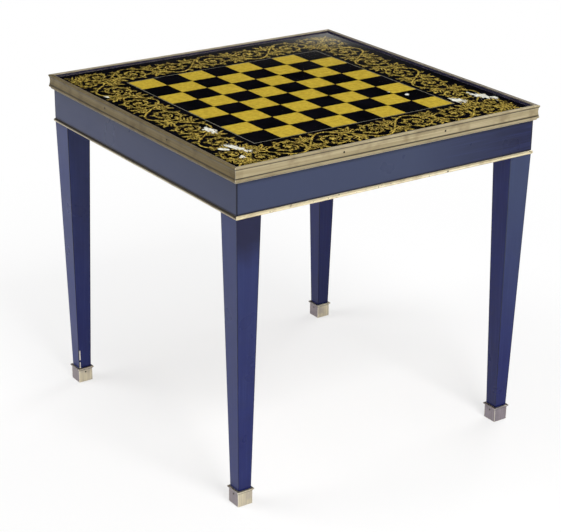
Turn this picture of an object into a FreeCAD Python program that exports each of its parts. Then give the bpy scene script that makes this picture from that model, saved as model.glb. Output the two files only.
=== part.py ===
import FreeCAD, Part
import os

# A square games table: four tapered legs, a mitred apron, and a painted glass board in a brass rim.
# Millimetres. The origin is on the floor under the middle of the table, +Z is up, the front faces -Y.

# Whole table, measured over the brass rim
table_side = 750.0
table_height = 728.0

# Brass rim moulding: top face, rounded lip, wide cove, groove, lower bead and a hollow foot
rim_top_width = 8.5
rim_depth = 4.5
rim_sheet = 2.2
rim_lip_height = 4.0
rim_lip_round = 1.2
rim_cove_depth = 2.5
rim_cove_edge = 1.2
rim_bead_height = 6.0
rim_bead_set = 0.4
rim_groove_depth = 2.4
rim_foot_height = 3.0
rim_foot_width = 0.8

# Layers of the playing surface, from the rim down to the board
glass_drop = 3.5
glass_thickness = 4.0
paint_thickness = 0.5
card_thickness = 1.0
board_thickness = 22.0
glass_clearance = 1.0

# Painted chessboard under the glass
squares_per_side = 8
square_side = 62.0
square_outline = 0.5
gold_line_width = 1.6

# Wooden lipping round the board, tongued and grooved to it
lipping_width = 60.0
tongue_length = 8.0
tongue_thickness = 6.0
tongue_clearance = 0.3

# Apron and the brass bead let into its lower edge
apron_height = 75.0
apron_thickness = 18.0
apron_set_back = 9.0
bead_height = 8.0
bead_depth = 3.0
bead_projection = 3.0

# Tapered legs
leg_top_side = 55.0
leg_foot_side = 30.0

# Brass foot cups, called sabots, with a moulded lip
sabot_height = 35.0
sabot_wall = 2.0
sabot_floor = 3.0
sabot_clearance = 0.1
sabot_lip_height = 3.5
sabot_lip_projection = 3.0
sabot_lip_round = 0.8
sabot_cove_height = 3.5

# Cleats that hold the top down to the apron
cleat_side = 25.0
cleat_length = 460.0

# Wood screws that pass up through each cleat, sunk flush in it, and bite into the lipping
screw_radius = 2.0
screw_head_radius = 4.0
screw_head_height = 2.5
screw_clearance = 0.2
screw_bite = 12.0
screws_per_cleat = 2
screw_pitch = 300.0

# Depth that a hollow's middle point takes between its two ends, for a round quarter turn
hollow_share = 0.7

# Length by which cutting shapes run past what they cut
overrun = 4.0

# Places worked out from the sizes above
rim_half = table_side / 2
lipping_half = rim_half - rim_depth
rebate_half = rim_half - rim_top_width
glass_half = rebate_half - glass_clearance
board_half = lipping_half - lipping_width
apron_half = rim_half - apron_set_back
apron_inside = apron_half - apron_thickness
leg_centre = apron_half - leg_top_side / 2
post_inside = apron_half - leg_top_side

glass_top = table_height - glass_drop
paint_top = glass_top - glass_thickness
card_top = paint_top - paint_thickness
board_top = card_top - card_thickness
apron_top = board_top - board_thickness
shoulder = apron_top - apron_height
upstand_top = table_height - rim_sheet

# Quarter turns about the upright axis that carry the right side, and the back right corner, round
sides = {"right": 0, "back": 90, "left": 180, "front": 270}
corners = {"back_right": 0, "back_left": 90, "front_left": 180, "front_right": 270}

V = FreeCAD.Vector
up = V(0, 0, 1)


def save(shape, name):
    shape.exportStep(os.path.join("parts", name + ".step"))


def turned(shape, angle):
    copy = shape.copy()
    copy.rotate(V(0, 0, 0), up, angle)
    return copy


def moved(shape, point):
    copy = shape.copy()
    copy.translate(point)
    return copy


def block(x0, x1, y0, y1, z0, z1):
    return Part.makeBox(x1 - x0, y1 - y0, z1 - z0, V(x0, y0, z0))


def slab(half, z0, z1):
    return block(-half, half, -half, half, z0, z1)


def square_wire(side, z):
    half = side / 2
    corners_of_square = [(-half, -half), (half, -half), (half, half), (-half, half), (-half, -half)]
    return Part.makePolygon([V(x, y, z) for x, y in corners_of_square])


# A closed profile in the XZ plane: each step is [end] for a straight edge or [middle, end] for an arc
def profile(start, steps):
    edges = []
    here = start
    for step in steps + [[start]]:
        points = [V(x, 0, z) for x, z in [here] + step]
        if len(points) == 2:
            edges.append(Part.makeLine(points[0], points[1]))
        else:
            edges.append(Part.Arc(points[0], points[1], points[2]).toShape())
        here = step[-1]
    return Part.Face(Part.Wire(edges))


# A round hollow from an outer upper edge down to an inner lower edge
def hollow(upper, lower):
    x = upper[0] + (lower[0] - upper[0]) * hollow_share
    z = lower[1] + (upper[1] - lower[1]) * hollow_share
    return [(x, z), lower]


# One side of a square frame: the profile runs along Y and both ends are cut at 45 degrees
def mitred(face, half, height):
    reach = half + overrun
    bar = moved(face, V(0, -reach, 0)).extrude(V(0, reach * 2, 0))
    triangle = [V(0, 0, -overrun), V(reach, -reach, -overrun), V(reach, reach, -overrun), V(0, 0, -overrun)]
    wedge = Part.Face(Part.makePolygon(triangle)).extrude(V(0, 0, height + overrun * 2))
    return bar.common(wedge)


# Places of a cleat's screws along its length, even about the middle
def screw_row():
    return [(number - (screws_per_cleat - 1) / 2) * screw_pitch for number in range(screws_per_cleat)]


# The screws of the right cleat, upright, each with its head in the cleat's lower face
def make_screws():
    x = apron_inside - cleat_side / 2
    z = apron_top - cleat_side
    screws = []
    for y in screw_row():
        head = Part.makeCylinder(screw_head_radius, screw_head_height, V(x, y, z))
        screws.append(head.fuse(Part.makeCylinder(screw_radius, cleat_side + screw_bite, V(x, y, z))))
    return screws


# The holes of those screws, open below the cleat
def make_screw_holes():
    x = apron_inside - cleat_side / 2
    z = apron_top - cleat_side
    holes = []
    for y in screw_row():
        sink_depth = screw_head_height + overrun
        sink = Part.makeCylinder(screw_head_radius + screw_clearance, sink_depth, V(x, y, z - overrun))
        depth = cleat_side + screw_bite + screw_clearance
        holes.append(sink.fuse(Part.makeCylinder(screw_radius + screw_clearance, depth, V(x, y, z))))
    return holes


# A leg at the origin: tapered shaft, square foot for the sabot, and the tapered top at the shoulder
def make_leg_shaft():
    ends = [square_wire(leg_foot_side, sabot_height), square_wire(leg_top_side, shoulder)]
    taper = Part.makeLoft(ends, True, True)
    foot = slab(leg_foot_side / 2, sabot_floor, sabot_height)
    return taper.fuse(foot).removeSplitter()


# A post above the shoulder, rebated on its two outer faces so that the apron passes over it
def make_post():
    return block(post_inside, apron_inside, post_inside, apron_inside, shoulder, apron_top)


def make_sabot():
    inside = leg_foot_side / 2 + sabot_clearance
    wall = inside + sabot_wall
    lip = wall + sabot_lip_projection
    lip_edge = lip - sabot_lip_round
    lip_bottom = sabot_height - sabot_lip_height
    cove_bottom = lip_bottom - sabot_cove_height
    section = profile(
        (inside, 0),
        [
            [(inside, sabot_height)],
            [(lip_edge, sabot_height)],
            [(lip, sabot_height - sabot_lip_height / 2), (lip_edge, lip_bottom)],
            hollow((lip_edge, lip_bottom), (wall, cove_bottom)),
            [(wall, 0)],
        ],
    )
    walls = [turned(mitred(section, lip, sabot_height), angle) for angle in sides.values()]
    return slab(inside, 0, sabot_floor).multiFuse(walls).removeSplitter()


def make_apron():
    section = profile(
        (apron_inside, shoulder),
        [
            [(apron_half - bead_depth, shoulder)],
            [(apron_half - bead_depth, shoulder + bead_height)],
            [(apron_half, shoulder + bead_height)],
            [(apron_half, apron_top)],
            [(apron_inside, apron_top)],
        ],
    )
    return mitred(section, apron_half, table_height)


def make_apron_bead():
    section = profile(
        (apron_half - bead_depth, shoulder),
        [
            [(apron_half, shoulder)],
            [(apron_half + bead_projection, shoulder + bead_height / 2), (apron_half, shoulder + bead_height)],
            [(apron_half - bead_depth, shoulder + bead_height)],
        ],
    )
    return mitred(section, apron_half + bead_projection, table_height)


def make_cleat():
    half = cleat_length / 2
    return block(apron_inside - cleat_side, apron_inside, -half, half, apron_top - cleat_side, apron_top)


def make_lipping():
    middle = (board_top + apron_top) / 2
    groove_half = tongue_thickness / 2 + tongue_clearance
    groove_end = board_half + tongue_length + tongue_clearance
    section = profile(
        (board_half, apron_top),
        [
            [(lipping_half, apron_top)],
            [(lipping_half, upstand_top)],
            [(rebate_half, upstand_top)],
            [(rebate_half, board_top)],
            [(board_half, board_top)],
            [(board_half, middle + groove_half)],
            [(groove_end, middle + groove_half)],
            [(groove_end, middle - groove_half)],
            [(board_half, middle - groove_half)],
        ],
    )
    return mitred(section, lipping_half, table_height)


def make_board():
    middle = (board_top + apron_top) / 2
    tongue = slab(board_half + tongue_length, middle - tongue_thickness / 2, middle + tongue_thickness / 2)
    return slab(board_half, apron_top, board_top).fuse(tongue)


def make_rim():
    lip_edge = rim_half - rim_lip_round
    lip_bottom = table_height - rim_lip_height
    cove_edge = rim_half - rim_cove_edge
    groove = rim_half - rim_groove_depth
    bead_bottom = apron_top + rim_foot_height
    bead_top = bead_bottom + rim_bead_height
    section = profile(
        (rebate_half, table_height),
        [
            [(lip_edge, table_height)],
            [(rim_half, table_height - rim_lip_height / 2), (cove_edge, lip_bottom)],
            [(rim_half - rim_cove_depth, (lip_bottom + bead_top) / 2), (cove_edge, bead_top)],
            [(groove, bead_top)],
            [(rim_half - rim_bead_set, (bead_top + bead_bottom) / 2), (groove, bead_bottom)],
            hollow((groove, bead_bottom), (lipping_half + rim_foot_width, apron_top)),
            [(lipping_half, apron_top)],
            [(lipping_half, upstand_top)],
            [(rebate_half, upstand_top)],
        ],
    )
    return mitred(section, rim_half, table_height)


# The gold squares of the board, a little smaller than their cells so that a dark line parts them
def make_gold_squares():
    origin = -squares_per_side * square_side / 2
    squares = []
    for column in range(squares_per_side):
        for row in range(squares_per_side):
            if (column + row) % 2 == 1:
                x = origin + column * square_side
                y = origin + row * square_side
                squares.append(
                    block(
                        x + square_outline,
                        x + square_side - square_outline,
                        y + square_outline,
                        y + square_side - square_outline,
                        card_top,
                        paint_top,
                    )
                )
    return squares


def make_gold_line():
    inner = squares_per_side * square_side / 2 + square_outline
    return slab(inner + gold_line_width, card_top, paint_top).cut(slab(inner, card_top, paint_top))


os.makedirs("parts", exist_ok=True)

# Legs with their posts, and their sabots
leg = moved(make_leg_shaft(), V(leg_centre, leg_centre, 0)).fuse(make_post()).removeSplitter()
sabot = moved(make_sabot(), V(leg_centre, leg_centre, 0))
for corner, angle in corners.items():
    save(turned(leg, angle), "leg_" + corner)
    save(turned(sabot, angle), "sabot_" + corner)

# Apron, its brass bead, cleats, lipping and rim, with the screws that hold the top down
screw_holes = make_screw_holes()
side_pieces = {
    "apron_": make_apron(),
    "apron_bead_": make_apron_bead(),
    "cleat_": make_cleat().cut(screw_holes),
    "lipping_": make_lipping().cut(screw_holes),
    "rim_": make_rim(),
}
screws = []
for side, angle in sides.items():
    for name, shape in side_pieces.items():
        save(turned(shape, angle), name + side)
    screws += [turned(screw, angle) for screw in make_screws()]
save(Part.makeCompound(screws), "cleat_screws")

# Board, card, painted layer and the glass that lies loose in the rim
gold_squares = make_gold_squares()
gold_line = make_gold_line()
ground = slab(glass_half, card_top, paint_top).cut(gold_squares + [gold_line])
save(make_board(), "top_board")
save(slab(glass_half, board_top, card_top), "backing_card")
save(ground, "painted_ground")
save(Part.makeCompound(gold_squares), "gold_squares")
save(gold_line, "gold_line")
save(slab(glass_half, paint_top, glass_top), "glass_sheet")
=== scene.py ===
import math
import bpy
from mathutils import Matrix, Vector


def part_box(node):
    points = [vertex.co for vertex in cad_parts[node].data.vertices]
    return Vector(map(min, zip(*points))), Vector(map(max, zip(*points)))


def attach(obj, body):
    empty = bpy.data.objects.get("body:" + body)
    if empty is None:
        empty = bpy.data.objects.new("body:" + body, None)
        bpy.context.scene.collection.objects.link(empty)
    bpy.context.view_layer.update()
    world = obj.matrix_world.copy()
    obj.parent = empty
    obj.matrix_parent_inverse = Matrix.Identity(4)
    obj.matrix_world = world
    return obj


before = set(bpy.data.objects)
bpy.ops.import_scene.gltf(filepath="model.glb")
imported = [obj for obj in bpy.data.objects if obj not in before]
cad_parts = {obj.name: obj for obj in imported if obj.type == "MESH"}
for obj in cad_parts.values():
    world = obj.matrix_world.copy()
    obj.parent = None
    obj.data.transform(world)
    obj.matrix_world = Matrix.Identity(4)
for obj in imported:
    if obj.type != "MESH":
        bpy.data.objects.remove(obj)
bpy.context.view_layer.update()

# The legs: square hardwood, tapered on all four faces, sprayed in blue lacquer and rubbed to a satin gloss.
# Each stands under a post that the apron is glued to. Grime darkens the arrises, a painted haze of reflected
# light greys the front face of one front leg and painted shade darkens the head of the other's front face,
# and shoes have chipped one leg near its foot, to the white filler and dark wood.
leg_low, leg_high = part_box("leg_back_right")
leg_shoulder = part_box("apron_right")[0].z
leg_middle = (leg_low.x + leg_high.x) / 2
leg_top_half = (leg_high.x - leg_low.x) / 2
leg_foot_half = 0.015
leg_taper = (leg_top_half - leg_foot_half) / leg_shoulder


def linear(hex_colour):
    channels = [int(hex_colour[start:start + 2], 16) / 255 for start in (1, 3, 5)]
    return tuple(c / 12.92 if c <= 0.04045 else ((c + 0.055) / 1.055) ** 2.4 for c in channels) + (1.0,)


# Adds a node: plain values go to its inputs in order, those of a dictionary by name or number, as links
# where they are nodes or sockets. Named values are the node's own settings.
def add_node(tree, kind, *values, **settings):
    node = tree.nodes.new(kind)
    for name, value in settings.items():
        setattr(node, name, value)
    inputs = {}
    for number, value in enumerate(values):
        inputs.update(value if isinstance(value, dict) else {number: value})
    for socket, value in inputs.items():
        if isinstance(value, bpy.types.Node):
            value = next(output for output in value.outputs if output.enabled)
        if isinstance(value, bpy.types.NodeSocket):
            tree.links.new(value, node.inputs[socket])
        else:
            node.inputs[socket].default_value = value
    return node


def start_material(name):
    material = bpy.data.materials.new(name)
    material.use_nodes = True
    material.node_tree.nodes.clear()
    return material, material.node_tree


# A cloudy pattern with blotches of a real size, in metres, drawn out along the axes by the stretch
def pattern(tree, place, size, stretch=(1, 1, 1), detail=3.0):
    scale = [1 / (size * along) for along in stretch]
    scaled = add_node(tree, "ShaderNodeMapping", {"Vector": place, "Scale": scale})
    return add_node(tree, "ShaderNodeTexNoise", {"Vector": scaled, "Scale": 1.0, "Detail": detail})


# Lays coats over a colour one after another: each coat is its share and its tone
def layered(tree, colour, *coats):
    for share, tone in coats:
        below, above = [linear(paint) if isinstance(paint, str) else paint for paint in (colour, tone)]
        colour = add_node(tree, "ShaderNodeMix", {0: share, 6: below, 7: above}, data_type="RGBA")
    return colour


def leg_half(tree, z):
    return add_node(tree, "ShaderNodeMath", z, leg_taper, leg_foot_half, operation="MULTIPLY_ADD")


# How far a point on a leg lies from the nearest arris, the same for all four legs, scaled for a finer line
arris_line_scale = 1.4


def leg_arrises(tree, place):
    x, y, z = add_node(tree, "ShaderNodeSeparateXYZ", place).outputs
    off_middle = []
    for along in (x, y):
        off = add_node(tree, "ShaderNodeMath", along, operation="ABSOLUTE")
        off = add_node(tree, "ShaderNodeMath", off, leg_middle, operation="SUBTRACT")
        off_middle.append(add_node(tree, "ShaderNodeMath", off, operation="ABSOLUTE"))
    nearer = add_node(tree, "ShaderNodeMath", *off_middle, operation="MINIMUM")
    off_arris = add_node(tree, "ShaderNodeMath", leg_half(tree, z), nearer, operation="SUBTRACT")
    return [add_node(tree, "ShaderNodeMath", off_arris, arris_line_scale, operation="MULTIPLY")]


# Chips off the arris where the back left leg's front and left faces meet: dark wood along the arris, and
# white filler beside it on the front face. Each chip is the height of its middle, half its height and its
# width. The pairs are where a chip, or what limits it, begins and is full.
filler_chips = ((0.067, 0.012, 0.0055), (0.043, 0.007, 0.005))
chip_ragged_size = 0.006
chip_edge = (1.55, 1.45)
beside_arris = (0.0011, 0.0016)
within_front = (0.0030, 0.0020)
bare_wood_top = (0.080, 0.084)
bare_wood_breaks = (0.40, 0.44)
bare_wood_width = (0.0026, 0.0020)


def chipped_arris(tree, place, colour):
    x, y, z = add_node(tree, "ShaderNodeSeparateXYZ", place).outputs
    half = leg_half(tree, z)
    across = add_node(tree, "ShaderNodeMath", x, leg_middle, operation="ADD")
    across = add_node(tree, "ShaderNodeMath", across, half, operation="ADD")
    along = add_node(tree, "ShaderNodeMath", y, leg_middle, operation="SUBTRACT")
    along = add_node(tree, "ShaderNodeMath", along, half, operation="ADD")
    off_arris = add_node(tree, "ShaderNodeMath", across, along, operation="MAXIMUM")
    ragged = pattern(tree, place, chip_ragged_size, stretch=(1, 1, 1.5), detail=2.0)
    beside = add_node(tree, "ShaderNodeMapRange", across, *beside_arris)
    in_front = add_node(tree, "ShaderNodeMapRange", along, *within_front)
    for middle, half_height, width in filler_chips:
        reaches = []
        for way, centre, half_size in ((z, middle, half_height), (across, width / 2, width / 2)):
            off = add_node(tree, "ShaderNodeMath", way, centre, operation="SUBTRACT")
            off = add_node(tree, "ShaderNodeMath", off, half_size, operation="DIVIDE")
            reaches.append(add_node(tree, "ShaderNodeMath", off, operation="ABSOLUTE"))
        reach = add_node(tree, "ShaderNodeMath", *reaches, operation="MAXIMUM")
        reach = add_node(tree, "ShaderNodeMath", reach, ragged, operation="ADD")
        torn = add_node(tree, "ShaderNodeMapRange", reach, *chip_edge)
        for limit in (beside, in_front):
            torn = add_node(tree, "ShaderNodeMath", torn, limit, operation="MULTIPLY")
        colour = layered(tree, colour, (torn, "#f1ebe0"))
    bare = add_node(tree, "ShaderNodeMapRange", z, *bare_wood_top, 1.0, 0.0)
    broken = add_node(tree, "ShaderNodeMapRange", ragged, *bare_wood_breaks)
    near_arris = add_node(tree, "ShaderNodeMapRange", off_arris, *bare_wood_width)
    for limit in (broken, near_arris):
        bare = add_node(tree, "ShaderNodeMath", bare, limit, operation="MULTIPLY")
    return layered(tree, colour, (bare, "#0d0b12"))


# Turns to one on the front face of a front leg
front_skin = (0.002, 0.001)


def on_front(tree, y, z):
    off_front = add_node(tree, "ShaderNodeMath", y, leg_middle, operation="ADD")
    off_front = add_node(tree, "ShaderNodeMath", off_front, leg_half(tree, z), operation="ADD")
    return add_node(tree, "ShaderNodeMapRange", off_front, *front_skin)


# A painted haze of reflected light greys the front face of the front right leg, most toward its head
front_haze_heights = (0.15, 0.55)
front_haze_share = 0.75


def hazed_front(tree, place, colour):
    _, y, z = add_node(tree, "ShaderNodeSeparateXYZ", place).outputs
    height = add_node(tree, "ShaderNodeMapRange", z, *front_haze_heights, 0.0, front_haze_share)
    hazed = add_node(tree, "ShaderNodeMath", height, on_front(tree, y, z), operation="MULTIPLY")
    return layered(tree, colour, (hazed, "#3a4560"))


# Painted shade at the head of the front left leg's front face, under the bead, with a wavy edge
head_shade_depth = 0.075
head_shade_full_depth = 0.025
head_shade_heights = (leg_shoulder - head_shade_depth, leg_shoulder - head_shade_full_depth)
head_shade_share = 0.85
head_shade_wave = 0.03
head_shade_wave_rise = 0.05


def head_painted_shade(tree, place, colour):
    _, y, z = add_node(tree, "ShaderNodeSeparateXYZ", place).outputs
    wave = pattern(tree, place, head_shade_wave)
    height = add_node(tree, "ShaderNodeMath", wave, head_shade_wave_rise, z, operation="MULTIPLY_ADD")
    near_head = add_node(tree, "ShaderNodeMapRange", height, *head_shade_heights, 0.0, head_shade_share)
    # Painted shade under the bead, on the front face only
    head_shaded = add_node(tree, "ShaderNodeMath", near_head, on_front(tree, y, z), operation="MULTIPLY")
    return layered(tree, colour, (head_shaded, "#0f0c2b"))


# Blue cellulose lacquer, sprayed and rubbed down: a deep blue under a satin gloss that picks up the floor,
# cloudy where it was rubbed thin, with grain telegraphed along the piece and lines of grime in its joints,
# and lines of painted shade where it meets brass. A ramp is an axis, where along it the greying begins and
# is full, its share there and its tone; on the aprons the greying is a painted haze of reflected light.
lacquer_cloud = 0.09
lacquer_stain = 0.035
lacquer_grain = 0.0035
lacquer_relief = 0.0004
lacquer_edge = 0.0008
grime_and_shade_line = (0.0026, 0.0014)
grime_and_shade_share = 0.92


def blue_lacquer(name, blues, grain, dark_lines, bloom, ramp=None, wear_and_painted_light=None):
    deep, thin = blues
    material, tree = start_material(name)
    place = add_node(tree, "ShaderNodeTexCoord").outputs["Object"]
    cloud = pattern(tree, place, lacquer_cloud, detail=4.0)
    grain_lines = pattern(tree, place, lacquer_grain, grain, detail=2.0)
    stain = pattern(tree, place, lacquer_stain, detail=4.0)
    rubbed = add_node(tree, "ShaderNodeMapRange", cloud, 0.35, 0.7)
    grained = add_node(tree, "ShaderNodeMapRange", grain_lines, 0.5, 0.8, 0.0, 0.35)
    stained = add_node(tree, "ShaderNodeMapRange", stain, 0.56, 0.78, 0.0, 0.35)
    colour = layered(tree, deep, (rubbed, thin), (grained, "#343f78"), (stained, "#1b2148"))
    if ramp:
        axis, begins, full, share, tone = ramp
        along = add_node(tree, "ShaderNodeSeparateXYZ", place).outputs[axis]
        # Greying along an axis: on the aprons, a painted haze of reflected light
        greyed = add_node(tree, "ShaderNodeMapRange", along, begins, full, 0.0, share)
        colour = layered(tree, colour, (greyed, tone))
    # Dark lines: grime on the legs' arrises and in the mitres, and painted shade along the apron's brass
    for distance in dark_lines(tree, place):
        line = add_node(tree, "ShaderNodeMapRange", distance, *grime_and_shade_line, 0.0, grime_and_shade_share)
        colour = layered(tree, colour, (line, "#0d0c1e"))
    if wear_and_painted_light:
        colour = wear_and_painted_light(tree, place, colour)
    rounded = add_node(tree, "ShaderNodeBevel", {"Radius": lacquer_edge}, samples=6)
    relief = {"Height": grain_lines, "Normal": rounded, "Strength": 0.1, "Distance": lacquer_relief}
    looks = {
        "Base Color": colour,
        "Roughness": add_node(tree, "ShaderNodeMapRange", cloud, 0.3, 0.7, 0.26, 0.38),
        "Normal": add_node(tree, "ShaderNodeBump", relief),
        "IOR": 1.5,
        "Specular IOR Level": 0.22,
        "Sheen Weight": bloom,
        "Sheen Roughness": 0.5,
        "Sheen Tint": linear("#8c9ad8"),
    }
    add_node(tree, "ShaderNodeOutputMaterial", add_node(tree, "ShaderNodeBsdfPrincipled", looks))
    return material


def dress(names, material):
    for name in names:
        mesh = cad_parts[name].data
        mesh.materials.clear()
        mesh.materials.append(material)


leg_blues = ("#0e1655", "#141e5e")
leg_grain = (1, 1, 60)
# Greyer toward the head of the leg
leg_greying = (2, 0.15, 0.60, 0.55, "#2b3456")
# Each leg: the name of its lacquer, its bloom, how it greys toward its head, and its wear and painted light
leg_lacquers = {
    "front_left": ("leg_blue_lacquer", 0.36, leg_greying, head_painted_shade),
    "back_left": ("leg_chipped_lacquer", 0.4, leg_greying, chipped_arris),
    "back_right": ("leg_clear_lacquer", 0.05, None, None),
    "front_right": ("leg_hazed_front_lacquer", 0.05, None, hazed_front),
}
for corner, (name, bloom, ramp, wear_and_painted_light) in leg_lacquers.items():
    dress(["leg_" + corner], blue_lacquer(name, leg_blues, leg_grain, leg_arrises, bloom, ramp, wear_and_painted_light))

# The sabots: pressed brass cups on the feet, pale and half polished, with a moulded lip.
# They are dulled in patches and scratched upright, and one round-headed pin holds each to its leg.
# A painted shadow line lies under the sabot's lip
sabot_lip_depth = 0.0045
sabot_lip_shade = 0.0015
sabot_lip = ((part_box("sabot_front_left")[1].z - sabot_lip_depth, sabot_lip_shade),)

# Aged brass: a pale metal with drawn lines along the piece, brown tarnish in clouds, pale edges that are
# rubbed and carry a painted highlight, and dirt with painted shade in its grooves. Each groove is a height
# and how far its darkening reaches. Each facing tone is an axis, the way along it that the toned faces look,
# and a tone.
# The lines are finer on the real piece, and are drawn 2 mm wide so that they show.
brass_line = 0.002
brass_cloud = 0.03
brass_fleck = 0.006
brass_relief = 0.0002
brass_polish_swing = 0.25
brass_polish_drop = 0.12
facing_tone_share = 0.85
groove_share = 0.9


def aged_brass(
    name, tones, grain, polish, metal=1.0, flecks=0.0, grooves=(), facing_tones=(), rubbed=0.6, edge=0.001
):
    pale, dull, dark = tones
    material, tree = start_material(name)
    place = add_node(tree, "ShaderNodeTexCoord").outputs["Object"]
    lines = pattern(tree, place, brass_line, grain, detail=4.0)
    cloud = pattern(tree, place, brass_cloud, detail=4.0)
    drawn = add_node(tree, "ShaderNodeMapRange", lines, 0.35, 0.65)
    browned = add_node(tree, "ShaderNodeMapRange", cloud, 0.5, 0.72, 0.0, 0.6)
    colour = layered(tree, pale, (drawn, dull), (browned, dark))
    flat = add_node(tree, "ShaderNodeNewGeometry").outputs["Normal"]
    # Tones by the way a face looks: a painted reflection on left faces, and darker upward faces
    for axis, way, tone in facing_tones:
        facing = add_node(tree, "ShaderNodeSeparateXYZ", flat).outputs[axis]
        facing = add_node(tree, "ShaderNodeMapRange", facing, way * 0.3, way * 0.8, 0.0, facing_tone_share)
        colour = layered(tree, colour, (facing, tone))
    if flecks:
        nicks = pattern(tree, place, brass_fleck, detail=4.0)
        nicks = add_node(tree, "ShaderNodeMapRange", nicks, 0.72 - flecks, 0.76 - flecks)
        colour = layered(tree, colour, (nicks, "#3b3226"))
    # Pale edges: rubbed brass, with a painted highlight where the edges catch the light
    rounded = add_node(tree, "ShaderNodeBevel", {"Radius": edge}, samples=6)
    alike = add_node(tree, "ShaderNodeVectorMath", rounded, flat, operation="DOT_PRODUCT")
    wear_and_painted_light = add_node(tree, "ShaderNodeMapRange", alike, 0.99, 0.92, 0.0, rubbed)
    colour = layered(tree, colour, (wear_and_painted_light, "#f5eedb"))
    level = add_node(tree, "ShaderNodeSeparateXYZ", place).outputs["Z"]
    # Dark bands at the grooves: dirt with painted shade, and on the sabots a painted shadow line under the
    # lip
    for groove, reach in grooves:
        off = add_node(tree, "ShaderNodeMath", level, groove, operation="SUBTRACT")
        off = add_node(tree, "ShaderNodeMath", off, operation="ABSOLUTE")
        dirt_and_shade = add_node(tree, "ShaderNodeMapRange", off, reach, reach / 2, 0.0, groove_share)
        colour = layered(tree, colour, (dirt_and_shade, "#1f1811"))
    finest = polish - brass_polish_drop
    dulled = add_node(tree, "ShaderNodeMath", cloud, brass_polish_swing, finest, operation="MULTIPLY_ADD")
    relief = {"Height": lines, "Normal": rounded, "Strength": 0.15, "Distance": brass_relief}
    looks = {
        "Base Color": colour,
        "Metallic": metal,
        "Roughness": dulled,
        "Normal": add_node(tree, "ShaderNodeBump", relief),
    }
    add_node(tree, "ShaderNodeOutputMaterial", add_node(tree, "ShaderNodeBsdfPrincipled", looks))
    return material


upright = (1, 1, 40)
pale_tones = ("#ddd2b6", "#c2b7a0", "#948a8c")
grey_tones = ("#968d93", "#82797f", "#6a626c")
# Upward faces are darker
upward_face_darkening = (2, 1, "#4a4238")
# Left faces take a painted reflection of the shadowed floor
left_face_painted_reflection = (0, -1, "#7d7480")
cup = {"grain": upright, "polish": 0.32, "metal": 0.7, "grooves": sabot_lip, "rubbed": 0.95, "edge": 0.0025}
pale_cups = aged_brass("sabot_pale_brass", pale_tones, facing_tones=(left_face_painted_reflection, upward_face_darkening), **cup)
grey_cup = aged_brass("sabot_grey_brass", grey_tones, facing_tones=(upward_face_darkening,), **cup)
dress(["sabot_front_left", "sabot_back_right", "sabot_back_left"], pale_cups)
dress(["sabot_front_right"], grey_cup)
pin_brown = aged_brass("pin_brown_brass", ("#3a3227", "#2d261d", "#1f1a14"), (1, 1, 1), polish=0.5)


# Round pin heads set on a surface: each point of the host mesh carries the way its pin looks outward
def pin_heads(name, places, radius, dome, material):
    tree = bpy.data.node_groups.new(name + "_tree", "GeometryNodeTree")
    tree.interface.new_socket("Pin places", in_out="INPUT", socket_type="NodeSocketGeometry")
    radius_socket = tree.interface.new_socket("Head radius", in_out="INPUT", socket_type="NodeSocketFloat")
    dome_socket = tree.interface.new_socket("Dome height", in_out="INPUT", socket_type="NodeSocketFloat")
    tree.interface.new_socket("Pin heads", in_out="OUTPUT", socket_type="NodeSocketGeometry")
    given = add_node(tree, "NodeGroupInput").outputs
    ball = add_node(tree, "GeometryNodeMeshUVSphere", {"Segments": 16, "Rings": 8, "Radius": 1.0})
    across = given["Head radius"]
    size = add_node(tree, "ShaderNodeCombineXYZ", across, across, given["Dome height"])
    head = add_node(tree, "GeometryNodeTransform", {"Geometry": ball, "Scale": size})
    smooth = add_node(tree, "GeometryNodeSetShadeSmooth", {"Geometry": head})
    outward = add_node(tree, "GeometryNodeInputNamedAttribute", "outward", data_type="FLOAT_VECTOR")
    turn = add_node(tree, "FunctionNodeAlignRotationToVector", {"Vector": outward}, axis="Z")
    inputs = {"Points": given["Pin places"], "Instance": smooth, "Rotation": turn}
    pins = add_node(tree, "GeometryNodeInstanceOnPoints", inputs)
    solid = add_node(tree, "GeometryNodeRealizeInstances", pins)
    painted = add_node(tree, "GeometryNodeSetMaterial", {"Geometry": solid, "Material": material})
    add_node(tree, "NodeGroupOutput", painted)
    mesh = bpy.data.meshes.new(name + "_places")
    mesh.from_pydata([point for point, _ in places], [], [])
    ways = mesh.attributes.new("outward", "FLOAT_VECTOR", "POINT")
    for item, (_, way) in zip(ways.data, places):
        item.vector = way
    host = bpy.data.objects.new(name + "_host", mesh)
    bpy.context.scene.collection.objects.link(host)
    modifier = host.modifiers.new("pins", "NODES")
    modifier.node_group = tree
    modifier[radius_socket.identifier] = radius
    modifier[dome_socket.identifier] = dome
    return plain_piece(host, name)


# Turns an evaluated host object into a plain mesh piece and takes the host away
def plain_piece(host, name):
    bpy.context.view_layer.update()
    evaluated = host.evaluated_get(bpy.context.evaluated_depsgraph_get())
    mesh = bpy.data.meshes.new_from_object(evaluated)
    mesh.name = name
    piece = bpy.data.objects.new(name, mesh)
    bpy.context.scene.collection.objects.link(piece)
    bpy.data.objects.remove(host)
    return piece


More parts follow.
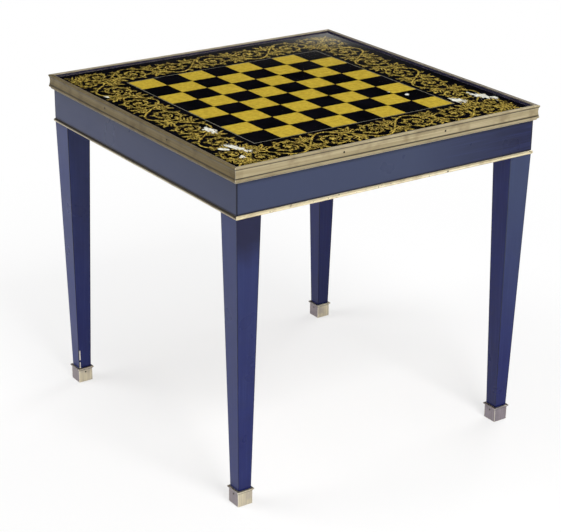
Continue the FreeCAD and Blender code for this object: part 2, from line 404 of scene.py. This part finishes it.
sabot_lip_projection = 0.003
sabot_pin_drop = 0.011
sabot_pin_radius = 0.0021
sabot_pin_dome = 0.0008
sabot_pin_faces = {
    "front_left": (-1, 0, 0),
    "front_right": (-1, 0, 0),
    "back_left": (0, -1, 0),
    "back_right": (-1, 0, 0),
}
sabot_pin_places = []
for corner, way in sabot_pin_faces.items():
    low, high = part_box("sabot_" + corner)
    middle = (low + high) / 2
    wall = (high.x - low.x) / 2 - sabot_lip_projection
    pin_place = (middle.x + way[0] * wall, middle.y + way[1] * wall, high.z - sabot_pin_drop)
    sabot_pin_places.append((pin_place, way))
sabot_pins = pin_heads("sabot_pins", sabot_pin_places, sabot_pin_radius, sabot_pin_dome, pin_brown)
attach(sabot_pins, "table")

# The apron: four boards in the same blue lacquer, mitred over the posts of the legs and glued to them.
# The mitres show as a thin dark line down each corner, and lines of painted shade lie against the brass
# above and below.
# The left board, and the front board toward its left end, are greyed by a painted haze of reflected light,
# and the front board's own blues are painted darker, as shade.
apron_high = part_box("apron_right")[1]
bead_low, bead_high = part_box("apron_bead_right")
mitre_line_scale = 0.8
bead_shade_line_scale = 0.6


# How far a point on the apron lies from a corner's mitre, and from the rim and the bead where lines of
# painted shade lie, scaled for wider lines
def apron_joints_and_shade_lines(tree, place):
    x, y, z = add_node(tree, "ShaderNodeSeparateXYZ", place).outputs
    off_ends = []
    for along in (x, y):
        out = add_node(tree, "ShaderNodeMath", along, operation="ABSOLUTE")
        off_ends.append(add_node(tree, "ShaderNodeMath", apron_high.x, out, operation="SUBTRACT"))
    mitre = add_node(tree, "ShaderNodeMath", *off_ends, operation="MAXIMUM")
    mitre = add_node(tree, "ShaderNodeMath", mitre, mitre_line_scale, operation="MULTIPLY")
    # Painted shade: a dark line under the rim, and another along the top of the bead
    above = add_node(tree, "ShaderNodeMath", apron_high.z, z, operation="SUBTRACT")
    below = add_node(tree, "ShaderNodeMath", z, bead_high.z, operation="SUBTRACT")
    below = add_node(tree, "ShaderNodeMath", below, operation="ABSOLUTE")
    below = add_node(tree, "ShaderNodeMath", below, bead_shade_line_scale, operation="MULTIPLY")
    return [mitre, above, below]


apron_blues = ("#161f5a", "#1c2763")
# Darker blues for the front board: painted shade
front_shaded_blues = ("#0d1236", "#12183e")
apron_grain = (40, 40, 1)
# Greying toward the front board's left end and over the left board: a painted haze of reflected light
front_haze = (0, 0.34, 0.05, 0.9, "#3a425c")
left_haze = (0, 0.34, 0.05, 0.85, "#333a50")
apron_blue = blue_lacquer("apron_blue_lacquer", apron_blues, apron_grain, apron_joints_and_shade_lines, 0.2)
front_blue = blue_lacquer("apron_front_painted_haze", front_shaded_blues, apron_grain, apron_joints_and_shade_lines, 0.1, front_haze)
left_blue = blue_lacquer("apron_left_painted_haze", apron_blues, apron_grain, apron_joints_and_shade_lines, 0.2, left_haze)
dress(["apron_right", "apron_back"], apron_blue)
dress(["apron_front"], front_blue)
dress(["apron_left"], left_blue)

# The apron's bead: a thin half-round brass strip let into the lower edge of the boards.
# It is the brightest brass on the table, rubbed by hands, with dark flecks where the finish has gone.
# The left strip is painted darker, as shade; it is black along its top, and along its lower edge with
# painted shade, and bright only between them.
sides = ("front", "right", "back", "left")
drawn_along = {"front": (120, 1, 1), "right": (1, 120, 1), "back": (120, 1, 1), "left": (1, 120, 1)}
bead_tones = ("#fbf0d0", "#e8d6a6", "#a58d62")
# Darker tones for the left strip: painted shade
left_bead_shaded_tones = ("#cfc3a3", "#aa9d80", "#71654e")
bead_dark_band_drop = 0.0012
bead_top_dark_band = 0.0034
bead_foot_shade = 0.0008
left_bead_dark_bands = ((bead_high.z - bead_dark_band_drop, bead_top_dark_band), (bead_low.z, bead_foot_shade))
for side in sides:
    tones = left_bead_shaded_tones if side == "left" else bead_tones
    dirt_and_shade = left_bead_dark_bands if side == "left" else ()
    shine = {"polish": 0.34, "metal": 0.6, "flecks": 0.06}
    strip = aged_brass("bead_bright_brass_" + side, tones, drawn_along[side], grooves=dirt_and_shade, **shine)
    dress(["apron_bead_" + side], strip)

# The cleats and the top board: plain pine out of sight under the table, sawn and planed, never lacquered.
# The grain runs along each cleat, and front to back on the board. Steel screws hold the top down.
pine_ring = 0.006
pine_cloud = 0.15
pine_relief = 0.0003


def bare_pine(name, grain):
    material, tree = start_material(name)
    place = add_node(tree, "ShaderNodeTexCoord").outputs["Object"]
    rings = pattern(tree, place, pine_ring, grain, detail=5.0)
    cloud = pattern(tree, place, pine_cloud)
    late_wood = add_node(tree, "ShaderNodeMapRange", rings, 0.35, 0.7)
    aged = add_node(tree, "ShaderNodeMapRange", cloud, 0.4, 0.7, 0.0, 0.4)
    relief = {"Height": rings, "Strength": 0.25, "Distance": pine_relief}
    looks = {
        "Base Color": layered(tree, "#c29a63", (late_wood, "#99703f"), (aged, "#8a6238")),
        "Roughness": 0.7,
        "Normal": add_node(tree, "ShaderNodeBump", relief),
        "IOR": 1.5,
    }
    add_node(tree, "ShaderNodeOutputMaterial", add_node(tree, "ShaderNodeBsdfPrincipled", looks))
    return material


dress(["cleat_front", "cleat_back"], bare_pine("cleat_pine_across", grain=(30, 1, 1)))
dress(["cleat_left", "cleat_right", "top_board"], bare_pine("cleat_and_board_pine", grain=(1, 30, 1)))

# Turned steel of the wood screws: grey and bright, with tool marks drawn coarser than the real ones
steel_mark = 0.0012


def turned_steel(name):
    material, tree = start_material(name)
    place = add_node(tree, "ShaderNodeTexCoord").outputs["Object"]
    marks = pattern(tree, place, steel_mark, detail=4.0)
    looks = {
        "Base Color": layered(tree, "#8f9092", (marks, "#6c6c6e")),
        "Metallic": 1.0,
        "Roughness": add_node(tree, "ShaderNodeMapRange", marks, 0.3, 0.7, 0.3, 0.5),
    }
    add_node(tree, "ShaderNodeOutputMaterial", add_node(tree, "ShaderNodeBsdfPrincipled", looks))
    return material


dress(["cleat_screws"], turned_steel("screw_steel"))

# The lipping: the wooden frame round the board, in a navy lacquer so dark that it reads as a shadow line.
# Only its upstand shows, as the inner wall between the brass rim and the glass.
navy_cloud = 0.02


def navy_lacquer(name):
    material, tree = start_material(name)
    place = add_node(tree, "ShaderNodeTexCoord").outputs["Object"]
    cloud = pattern(tree, place, navy_cloud, detail=4.0)
    rubbed = add_node(tree, "ShaderNodeMapRange", cloud, 0.4, 0.7)
    looks = {
        "Base Color": layered(tree, "#17153a", (rubbed, "#221d48")),
        "Roughness": add_node(tree, "ShaderNodeMapRange", cloud, 0.3, 0.7, 0.35, 0.5),
        "IOR": 1.5,
        "Coat Weight": 0.2,
        "Coat Roughness": 0.2,
    }
    add_node(tree, "ShaderNodeOutputMaterial", add_node(tree, "ShaderNodeBsdfPrincipled", looks))
    return material


dress(["lipping_" + side for side in sides], navy_lacquer("lipping_navy_lacquer"))

# The rim: drawn brass moulding in four mitred lengths, turned over the lipping and pinned through its cove.
# A brown film dulls half of its shine, with draw lines along its length. The pins show as small dark heads.
rim_low, rim_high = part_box("rim_right")
rim_lip_height = 0.004
rim_bead_top = 0.009
# Dirt and painted shade darken the rim's two grooves
rim_groove_dirt_and_shade = 0.0015
rim_grooves = (
    (rim_high.z - rim_lip_height, rim_groove_dirt_and_shade),
    (rim_low.z + rim_bead_top, rim_groove_dirt_and_shade),
)
# Each length's tones follow the light: the right and left lengths are painted darker, as shade
rim_lit_and_shaded_tones = {
    "front": ("#bdaf8c", "#a0926f", "#7c6b4d"),
    "right": ("#857a68", "#6c6254", "#4c443c"),
    "back": ("#b5a98c", "#978a6e", "#73664d"),
    "left": ("#766740", "#62522b", "#453619"),
}
for side in sides:
    shine = {"polish": 0.42, "metal": 0.5, "grooves": rim_grooves}
    dress(["rim_" + side], aged_brass("rim_aged_brass_" + side, rim_lit_and_shaded_tones[side], drawn_along[side], **shine))
rim_cove_depth = 0.0025
rim_cove_share = 0.58
rim_cove_middle = rim_low.z + (rim_high.z - rim_low.z) * rim_cove_share
rim_pin_radius = 0.0023
rim_pin_dome = 0.0009
rim_pins_per_side = 2
rim_pin_places = []
for number in range(rim_pins_per_side):
    along = ((number + 1) / (rim_pins_per_side + 1) - 0.5) * (rim_high.y - rim_low.y)
    out = rim_high.x - rim_cove_depth
    rim_pin_places += [
        ((out, along, rim_cove_middle), (1, 0, 0)),
        ((-out, along, rim_cove_middle), (-1, 0, 0)),
        ((along, out, rim_cove_middle), (0, 1, 0)),
        ((along, -out, rim_cove_middle), (0, -1, 0)),
    ]
rim_pins = pin_heads("rim_pins", rim_pin_places, rim_pin_radius, rim_pin_dome, pin_brown)
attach(rim_pins, "table")

# The backing card: a sheet of white card between the board and the paint, soft and a little foxed.
# It shows where paint has come away from the glass. Its fibres are drawn coarser than the real ones.
card_fibre = 0.002
card_foxing = 0.05


def white_card(name):
    material, tree = start_material(name)
    place = add_node(tree, "ShaderNodeTexCoord").outputs["Object"]
    fibres = pattern(tree, place, card_fibre, detail=4.0)
    foxing = pattern(tree, place, card_foxing, detail=5.0)
    foxed = add_node(tree, "ShaderNodeMapRange", foxing, 0.6, 0.75, 0.0, 0.4)
    looks = {
        "Base Color": layered(tree, "#f1eee6", (fibres, "#e2ddd0"), (foxed, "#c9b48c")),
        "Roughness": 0.9,
    }
    add_node(tree, "ShaderNodeOutputMaterial", add_node(tree, "ShaderNodeBsdfPrincipled", looks))
    return material


dress(["backing_card"], white_card("backing_white_card"))

# The painted layer on the back of the glass: black paint, and gold leaf for the squares and the line.
# In a few places by the border the paint has flaked off, and the white card shows in ragged patches.
paint_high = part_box("painted_ground")[1]
mm = 0.001
# Each loss: its middle across and along the board, half length, half width and heading in degrees
paint_losses = (
    (-278, -130, 28, 10, 92),
    (-293, -254, 38, 9, 110),
    (-318, -250, 15, 8, 120),
    (-313, -301, 10, 6, 90),
    (270, -236, 22, 15, 95),
    (334, -236, 34, 16, 105),
    (351, -262, 14, 8, 60),
    (207, -143, 8, 6, 60),
    (184, -108, 6, 3, 120),
    (-338, 178, 10, 5, 100),
)
tear_size = 0.014
tear_share = 2.2
streak_size = 0.0035
streak_share = 2.0
loss_edge = (2.95, 2.85)


def with_losses(tree, place, colour):
    ragged = pattern(tree, place, tear_size, detail=3.0)
    streaks = pattern(tree, place, streak_size, stretch=(1, 4, 1), detail=2.0)
    torn = add_node(tree, "ShaderNodeMath", ragged, tear_share, operation="MULTIPLY")
    streaked = add_node(tree, "ShaderNodeMath", streaks, streak_share, operation="MULTIPLY")
    tear = add_node(tree, "ShaderNodeMath", torn, streaked, operation="ADD")
    gone = 0.0
    for x, y, half_length, half_width, heading in paint_losses:
        settings = {
            "Vector": place,
            "Location": (x * mm, y * mm, paint_high.z),
            "Rotation": (0, 0, math.radians(heading)),
            "Scale": (half_length * mm, half_width * mm, 1.0),
        }
        local = add_node(tree, "ShaderNodeMapping", settings, vector_type="TEXTURE")
        reach = add_node(tree, "ShaderNodeVectorMath", local, operation="LENGTH")
        reach = add_node(tree, "ShaderNodeMath", reach, tear, operation="ADD")
        lost = add_node(tree, "ShaderNodeMapRange", reach, *loss_edge)
        gone = add_node(tree, "ShaderNodeMath", lost, gone, operation="MAXIMUM")
    shaded = add_node(tree, "ShaderNodeMapRange", streaks, 0.4, 0.65)
    return layered(tree, colour, (gone, layered(tree, "#f4f1ea", (shaded, "#d8d2c6"))))


# Black oil paint behind glass: dead black with a trace of blue, faintly cloudy where it is thin
paint_cloud = 0.05


def black_paint(name):
    material, tree = start_material(name)
    place = add_node(tree, "ShaderNodeTexCoord").outputs["Object"]
    thin = add_node(tree, "ShaderNodeMapRange", pattern(tree, place, paint_cloud, detail=5.0), 0.4, 0.75)
    colour = layered(tree, "#040406", (thin, "#0c0b12"))
    looks = {"Base Color": with_losses(tree, place, colour), "Roughness": 0.6, "Specular IOR Level": 0.0}
    add_node(tree, "ShaderNodeOutputMaterial", add_node(tree, "ShaderNodeBsdfPrincipled", looks))
    return material


# Gold leaf behind glass: a flat olive gold laid in small pieces, mottled, with brown breaks in the leaf.
# The border's leaf is also scratched through for its veins, so its breaks are closer and darker.
leaf_grain = 0.0022


def gold_leaf(name, bright, dull, brown, patch=0.010, breaks=(0.55, 0.80, 0.6)):
    begins, ends, share = breaks
    material, tree = start_material(name)
    place = add_node(tree, "ShaderNodeTexCoord").outputs["Object"]
    mottle = pattern(tree, place, patch, detail=6.0)
    grain = pattern(tree, place, leaf_grain, stretch=(1, 3, 1), detail=3.0)
    dulled = add_node(tree, "ShaderNodeMapRange", mottle, 0.38, 0.64)
    broken = add_node(tree, "ShaderNodeMapRange", grain, begins, ends, 0.0, share)
    colour = layered(tree, bright, (dulled, dull), (broken, brown))
    looks = {
        "Base Color": with_losses(tree, place, colour),
        "Metallic": 0.15,
        "Roughness": 0.5,
        "Specular IOR Level": 0.0,
    }
    add_node(tree, "ShaderNodeOutputMaterial", add_node(tree, "ShaderNodeBsdfPrincipled", looks))
    return material


dress(["painted_ground"], black_paint("ground_black_paint"))
dress(["gold_squares"], gold_leaf("square_gold_leaf", "#d4b742", "#bfa236", "#997d2b"))
dress(["gold_line"], gold_leaf("line_gold_leaf", "#a09a8c", "#777065", "#423c36"))

# The border: running scrolls of gilded foliage, five to a side, turned in and out by turns, with a leafy
# knot in each corner. Each stem and leaf is one brush stroke that swells and tapers, in leaf on the glass.
# The plain numbers in these drawings are shares of a length, the band or the pitch, and angles in radians.
border_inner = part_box("gold_line")[1].x
border_outer = paint_high.x
inner_margin = 0.007
outer_margin = 0.016
border_line = (border_inner + inner_margin + border_outer - outer_margin) / 2
band = (border_outer - outer_margin - border_inner - inner_margin) / 2
scrolls_per_side = 5
pitch = (border_line - band) * 2 / scrolls_per_side
stroke_flatness = 0.03


def brush_stroke(curve, points, widths, turn):
    spline = curve.splines.new("POLY")
    spline.points.add(len(points) - 1)
    for point, (x, y), width in zip(spline.points, points, widths):
        point.co = (x, y * turn, 0, 1)
        point.radius = width / 2


# A leaf of one stroke: thin at its root, broad before the middle and narrow at its tip, curling as it goes
def leaf(curve, root, heading, length, bend, width, turn, steps=4):
    x, y = root
    points = [root]
    widths = [width * 0.3]
    for step in range(1, steps + 1):
        share = step / steps
        angle = heading + bend * share ** 1.3
        x += math.cos(angle) * length / steps
        y += math.sin(angle) * length / steps
        points.append((x, y))
        widths.append(width * (0.12 + 0.88 * math.sin(math.pi * 0.95 * share ** 0.8)))
    brush_stroke(curve, points, widths, turn)


# A spray of foliage: a curling rib with pairs of lobes down its sides, shorter toward the tip
def spray(curve, root, heading, length, bend, turn, pairs=3):
    steps = 6
    x, y = root
    rib = [root]
    angles = [heading]
    for step in range(1, steps + 1):
        angle = heading + bend * (step / steps) ** 1.2
        x += math.cos(angle) * length / steps
        y += math.sin(angle) * length / steps
        rib.append((x, y))
        angles.append(angle)
    brush_stroke(curve, rib[:-1], [length * (0.08 - 0.04 * step / steps) for step in range(steps)], turn)
    for pair in range(pairs):
        at = round(0.8 + pair * (steps - 2.4) / (pairs - 1))
        size = length * (0.50 - 0.20 * pair / pairs)
        for side in (-1, 1):
            leaf(curve, rib[at], angles[at] + side * 0.70, size, side * 0.7, size * 0.19, turn)
    leaf(curve, rib[-3], angles[-2], length * 0.46, bend * 0.35, length * 0.11, turn)


# A stem that winds in round a centre, with sprays off both sides and a six-petalled flower at its end
def scroll(curve, centre, radius, start_angle, turns, spin, turn, sprays):
    def at(share):
        reach = radius * (1 - 0.74 * share ** 1.1)
        angle = start_angle + spin * turns * math.tau * share
        return (centre[0] + reach * math.cos(angle), centre[1] + reach * math.sin(angle)), angle

    steps = 30
    shares = [step / steps for step in range(steps + 1)]
    widths = [radius * (0.11 - 0.04 * share) for share in shares]
    brush_stroke(curve, [at(share)[0] for share in shares], widths, turn)
    for number in range(sprays):
        share = 0.04 + 0.74 * number / sprays
        root, angle = at(share)
        forward = angle + spin * math.pi / 2
        size = radius * (0.66 - 0.42 * share)
        spray(curve, root, forward + spin * 0.15, size, spin * 1.3, turn)
        if 0.1 < share < 0.6:
            spray(curve, root, forward - spin * 0.25, size * 0.72, -spin * 1.1, turn)
    petals = 6
    for petal in range(petals):
        leaf(curve, centre, petal * math.tau / petals, radius * 0.26, 0.5, radius * 0.16, turn, steps=3)


def running_scroll(curve, turn):
    steps = 20
    places = [(step / steps - 0.5) * pitch for step in range(steps + 1)]
    stem = [(x, -band * 0.90 * math.cos(math.pi * x / pitch)) for x in places]
    brush_stroke(curve, stem, [band * 0.09] * len(stem), turn)
    scroll(curve, (0.0, band * 0.05), band * 0.80, math.radians(-66), 1.55, 1, turn, sprays=9)
    for number in (2, 5, 14, 17):
        (x0, y0), (x1, y1) = stem[number], stem[number + 1]
        forward = math.atan2(y1 - y0, x1 - x0)
        spray(curve, stem[number], forward - 0.25, band * 0.40, -0.9, turn)
    # Tall sprays fill the spandrels between one scroll and the next
    for end in (-1, 1):
        root = (end * pitch * 0.47, band * 0.04)
        spray(curve, root, math.pi / 2 + end * 0.10, band * 0.90, -end * 0.5, turn, pairs=4)
        root = (end * pitch * 0.40, band * 0.62)
        leaf(curve, root, math.pi / 2 - end * 0.2, band * 0.36, end * 1.2, band * 0.15, turn)


# The corner's knot: the stems of both sides wind in beside the diagonal, with sprays to the two points
def corner_knot(curve, turn):
    for side in (-1, 1):
        middle = (0.0, side * band * 0.62)
        scroll(curve, middle, band * 0.70, side * math.radians(-189), 1.5, side, turn, sprays=9)
        spray(curve, (0.0, side * band * 1.05), side * math.pi / 2, band * 0.30, 0.0, turn)
        spray(curve, (band * 0.42, side * band * 0.12), side * 0.62, band * 0.72, side * 0.5, turn)
        inward = math.pi - side * 0.7
        spray(curve, (-band * 0.60, side * band * 0.10), inward, band * 0.44, -side * 0.5, turn)
    spray(curve, (band * 0.28, 0.0), 0.0, band * 1.0, 0.0, turn, pairs=4)
    spray(curve, (-band * 0.50, 0.0), math.pi, band * 0.72, 0.0, turn)


def drawn_curve(name, draw, turn):
    curve = bpy.data.curves.new(name, "CURVE")
    curve.dimensions = "3D"
    draw(curve, turn)
    drawing = bpy.data.objects.new(name, curve)
    bpy.context.scene.collection.objects.link(drawing)
    return drawing


# The border's tree: flattens each drawn stroke to a ribbon of leaf, sets the scrolls along one side, and
# turns that side to all four
def border_foliage(name, material):
    tree = bpy.data.node_groups.new(name + "_tree", "GeometryNodeTree")
    wanted = {
        "Scroll turned in": ("NodeSocketObject", drawn_curve("scroll_in", running_scroll, 1)),
        "Scroll turned out": ("NodeSocketObject", drawn_curve("scroll_out", running_scroll, -1)),
        "Corner knot": ("NodeSocketObject", drawn_curve("knot", corner_knot, 1)),
        "Pitch": ("NodeSocketFloat", pitch),
        "Line of the border": ("NodeSocketFloat", border_line),
        "Height of the leaf": ("NodeSocketFloat", paint_high.z),
        "Flatness": ("NodeSocketFloat", stroke_flatness),
    }
    values = {}
    for label, (kind, value) in wanted.items():
        socket = tree.interface.new_socket(label, in_out="INPUT", socket_type=kind)
        values[socket.identifier] = value
    tree.interface.new_socket("Foliage", in_out="OUTPUT", socket_type="NodeSocketGeometry")
    given = add_node(tree, "NodeGroupInput").outputs
    line = given["Line of the border"]
    near_line = add_node(tree, "ShaderNodeMath", line, -1.0, operation="MULTIPLY")
    step = add_node(tree, "ShaderNodeMath", given["Pitch"], 2.0, operation="MULTIPLY")
    step = add_node(tree, "ShaderNodeCombineXYZ", {"X": step})
    inputs = {"Width": 2.0, "Height": given["Flatness"]}
    section = add_node(tree, "GeometryNodeCurvePrimitiveQuadrilateral", inputs)
    width = add_node(tree, "GeometryNodeInputRadius")
    inward = (scrolls_per_side + 1) // 2
    outward = scrolls_per_side // 2
    first_in = add_node(tree, "ShaderNodeMath", given["Pitch"], 1.0 - inward, operation="MULTIPLY")
    first_out = add_node(tree, "ShaderNodeMath", given["Pitch"], 1.0 - outward, operation="MULTIPLY")
    rows = (
        ("Scroll turned in", inward, first_in, 0.0),
        ("Scroll turned out", outward, first_out, 0.0),
        ("Corner knot", 1, line, -math.pi / 4),
    )
    one_side = add_node(tree, "GeometryNodeJoinGeometry")
    for label, count, start, turned in rows:
        drawn = add_node(tree, "GeometryNodeObjectInfo", given[label], transform_space="ORIGINAL")
        flat = add_node(tree, "GeometryNodeSetCurveNormal", drawn.outputs["Geometry"], mode="Z_UP")
        inputs = {"Curve": flat, "Profile Curve": section, "Scale": width, "Fill Caps": True}
        ribbon = add_node(tree, "GeometryNodeCurveToMesh", inputs)
        first = add_node(tree, "ShaderNodeCombineXYZ", start, near_line, given["Height of the leaf"])
        inputs = {"Count": count, "Start Location": first, "Offset": step}
        points = add_node(tree, "GeometryNodeMeshLine", inputs)
        turn = add_node(tree, "FunctionNodeEulerToRotation", (0.0, 0.0, turned))
        inputs = {"Points": points, "Instance": ribbon, "Rotation": turn}
        row = add_node(tree, "GeometryNodeInstanceOnPoints", inputs)
        tree.links.new(row.outputs[0], one_side.inputs[0])
    as_one = add_node(tree, "GeometryNodeGeometryToInstance", one_side)
    turns = add_node(tree, "GeometryNodePoints", {"Count": len(sides)})
    number = add_node(tree, "GeometryNodeInputIndex")
    quarter = add_node(tree, "ShaderNodeMath", number, math.tau / len(sides), operation="MULTIPLY")
    quarter = add_node(tree, "ShaderNodeCombineXYZ", {"Z": quarter})
    quarter = add_node(tree, "FunctionNodeEulerToRotation", quarter)
    inputs = {"Points": turns, "Instance": as_one, "Rotation": quarter}
    all_sides = add_node(tree, "GeometryNodeInstanceOnPoints", inputs)
    solid = add_node(tree, "GeometryNodeRealizeInstances", all_sides)
    gilded = add_node(tree, "GeometryNodeSetMaterial", {"Geometry": solid, "Material": material})
    add_node(tree, "NodeGroupOutput", gilded)
    host = bpy.data.objects.new(name + "_host", bpy.data.meshes.new(name + "_start"))
    bpy.context.scene.collection.objects.link(host)
    modifier = host.modifiers.new("foliage", "NODES")
    modifier.node_group = tree
    for identifier, value in values.items():
        modifier[identifier] = value
    piece = plain_piece(host, name)
    for kind, value in wanted.values():
        if kind == "NodeSocketObject":
            bpy.data.objects.remove(value)
    return piece


veins = (0.46, 0.58, 0.9)
border_gold = gold_leaf("border_gold_leaf", "#e9cf62", "#9c7b31", "#1d140a", patch=0.005, breaks=veins)
foliage = border_foliage("border_foliage", border_gold)
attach(foliage, "glass_panel")


# The glass: one loose sheet of clear plate, polished flat, lying in the rim with the paint on its back.
# A trace of green, and a sharp reflection that grows toward the far side.
def clear_glass(name):
    material, tree = start_material(name)
    clear = add_node(tree, "ShaderNodeBsdfTransparent", {"Color": linear("#fbfcfb")})
    shine = add_node(tree, "ShaderNodeBsdfGlossy", {"Roughness": 0.03})
    fresnel = add_node(tree, "ShaderNodeFresnel", {"IOR": 1.45})
    inner_side = add_node(tree, "ShaderNodeNewGeometry").outputs["Backfacing"]
    outer_side = add_node(tree, "ShaderNodeMath", 1.0, inner_side, operation="SUBTRACT")
    share = add_node(tree, "ShaderNodeMath", fresnel, outer_side, operation="MULTIPLY")
    mixed = add_node(tree, "ShaderNodeMixShader", share, clear, shine)
    add_node(tree, "ShaderNodeOutputMaterial", mixed)
    return material


dress(["glass_sheet"], clear_glass("panel_clear_glass"))

# The floor, the light and the camera: a white seamless floor under soft light, mostly from the front,
# seen from the near corner a little above the top. The floor is white to the eye, with the table's shadow.
floor_half = 30.0
shadow_core = 0.5
shadow_reach = 1.7
shadow_white = 0.65
paper_cloud = 0.8
floor_mesh = bpy.data.meshes.new("floor")
floor_corners = [(x * floor_half, y * floor_half, 0) for x, y in ((-1, -1), (1, -1), (1, 1), (-1, 1))]
floor_mesh.from_pydata(floor_corners, [], [(0, 1, 2, 3)])
floor = bpy.data.objects.new("floor", floor_mesh)
bpy.context.scene.collection.objects.link(floor)


# Matt white paper: a diffuse sheet that turns to plain white away from the table's shadow
def white_paper(name):
    material, tree = start_material(name)
    place = add_node(tree, "ShaderNodeTexCoord").outputs["Object"]
    tone = add_node(tree, "ShaderNodeMapRange", pattern(tree, place, paper_cloud), 0.3, 0.7)
    colour = layered(tree, "#f2f2f2", (tone, "#f6f6f6"))
    looks = {"Base Color": colour, "Roughness": 0.9, "Specular IOR Level": 0.1}
    paper = add_node(tree, "ShaderNodeBsdfPrincipled", looks)
    path = add_node(tree, "ShaderNodeLightPath").outputs
    seen = path["Is Camera Ray"]
    for ray in ("Is Glossy Ray", "Is Transmission Ray"):
        seen = add_node(tree, "ShaderNodeMath", seen, path[ray], operation="MAXIMUM")
    away = add_node(tree, "ShaderNodeVectorMath", place, operation="LENGTH")
    share = add_node(tree, "ShaderNodeMapRange", away, shadow_core, shadow_reach, shadow_white, 1.0)
    share = add_node(tree, "ShaderNodeMath", seen, share, operation="MULTIPLY")
    plain_white = add_node(tree, "ShaderNodeEmission", {"Color": linear("#ffffff"), "Strength": 1.0})
    mixed = add_node(tree, "ShaderNodeMixShader", share, paper, plain_white)
    add_node(tree, "ShaderNodeOutputMaterial", mixed)
    return material


floor_mesh.materials.append(white_paper("floor_white_paper"))


def soft_lamp(name, place, aim, size, watts):
    light = bpy.data.lights.new(name, "AREA")
    light.shape = "SQUARE"
    light.size = size
    light.energy = watts
    lamp = bpy.data.objects.new(name, light)
    lamp.location = place
    lamp.rotation_euler = (Vector(aim) - Vector(place)).to_track_quat("-Z", "Y").to_euler()
    lamp.visible_camera = False
    bpy.context.scene.collection.objects.link(lamp)


table_middle = (0.0, 0.0, 0.4)
soft_lamp("lamp_front", (-0.3, -2.95, 3.8), table_middle, size=1.6, watts=155)
soft_lamp("lamp_left_back", (-2.4, 1.4, 3.8), table_middle, size=2.4, watts=90)
soft_lamp("lamp_right", (2.7, 0.7, 3.6), table_middle, size=2.0, watts=60)

# The room's own light: pale at the horizon, dark above it so that the glass stays clear, dim overhead.
# Heights in it are the sine of the angle above the horizon, and pairs are where a change begins and ends.
horizon_fade = (0.10, 0.268)
dark_level = 0.006
overhead_rise = (0.55, 1.0)
overhead_level = 0.35
world = bpy.data.worlds.new("studio")
bpy.context.scene.world = world
world.use_nodes = True
world_tree = world.node_tree
world_tree.nodes.clear()
sky = add_node(world_tree, "ShaderNodeTexCoord").outputs["Generated"]
sky_up = add_node(world_tree, "ShaderNodeSeparateXYZ", sky).outputs["Z"]
horizon = add_node(world_tree, "ShaderNodeMapRange", sky_up, *horizon_fade, 1.0, dark_level)
overhead = add_node(world_tree, "ShaderNodeMapRange", sky_up, *overhead_rise, 0.0, overhead_level)

# A low window far behind the table, which the glass shows as a soft pale bloom in its far corner
window_across = (-0.809, 0.588, 0.0)
window_side_fade = (0.04, 0.004)
window_head_fade = (0.2555, 0.2466)
window_foot_fade = (0.20, 0.24)
window_level = 0.9
aside = add_node(world_tree, "ShaderNodeVectorMath", sky, window_across, operation="DOT_PRODUCT")
aside = add_node(world_tree, "ShaderNodeMath", aside, operation="ABSOLUTE")
window = add_node(world_tree, "ShaderNodeMapRange", sky_up, *window_head_fade, 0.0, window_level)
for height_or_side, ramp in ((sky_up, window_foot_fade), (aside, window_side_fade)):
    limit = add_node(world_tree, "ShaderNodeMapRange", height_or_side, *ramp)
    window = add_node(world_tree, "ShaderNodeMath", window, limit, operation="MULTIPLY")
strength = add_node(world_tree, "ShaderNodeMath", horizon, overhead, operation="ADD")
strength = add_node(world_tree, "ShaderNodeMath", strength, window, operation="ADD")
background = add_node(world_tree, "ShaderNodeBackground", {"Color": linear("#ffffff"), "Strength": strength})
add_node(world_tree, "ShaderNodeOutputWorld", background)

# The camera, fitted to the corners of the rim, the apron, the chessboard and the feet in the photograph
camera_azimuth = math.radians(-34.45)
camera_elevation = math.radians(22.24)
camera_roll = math.radians(0.61)
camera_distance = 3.612
camera_target = Vector((-0.0657, -0.0746, 0.364))
image_width = 561
focal_pixels = 1682.6
camera_data = bpy.data.cameras.new("camera")
camera_data.sensor_width = 36.0
camera_data.lens = focal_pixels / image_width * camera_data.sensor_width
camera = bpy.data.objects.new("camera", camera_data)
camera_turn = (
    Matrix.Rotation(camera_azimuth, 3, "Z")
    @ Matrix.Rotation(math.pi / 2 - camera_elevation, 3, "X")
    @ Matrix.Rotation(camera_roll, 3, "Z")
)
camera.location = camera_target + camera_turn @ Vector((0.0, 0.0, camera_distance))
camera.rotation_euler = camera_turn.to_euler()
bpy.context.scene.collection.objects.link(camera)
bpy.context.scene.camera = camera
bpy.context.scene.view_settings.view_transform = "Standard"
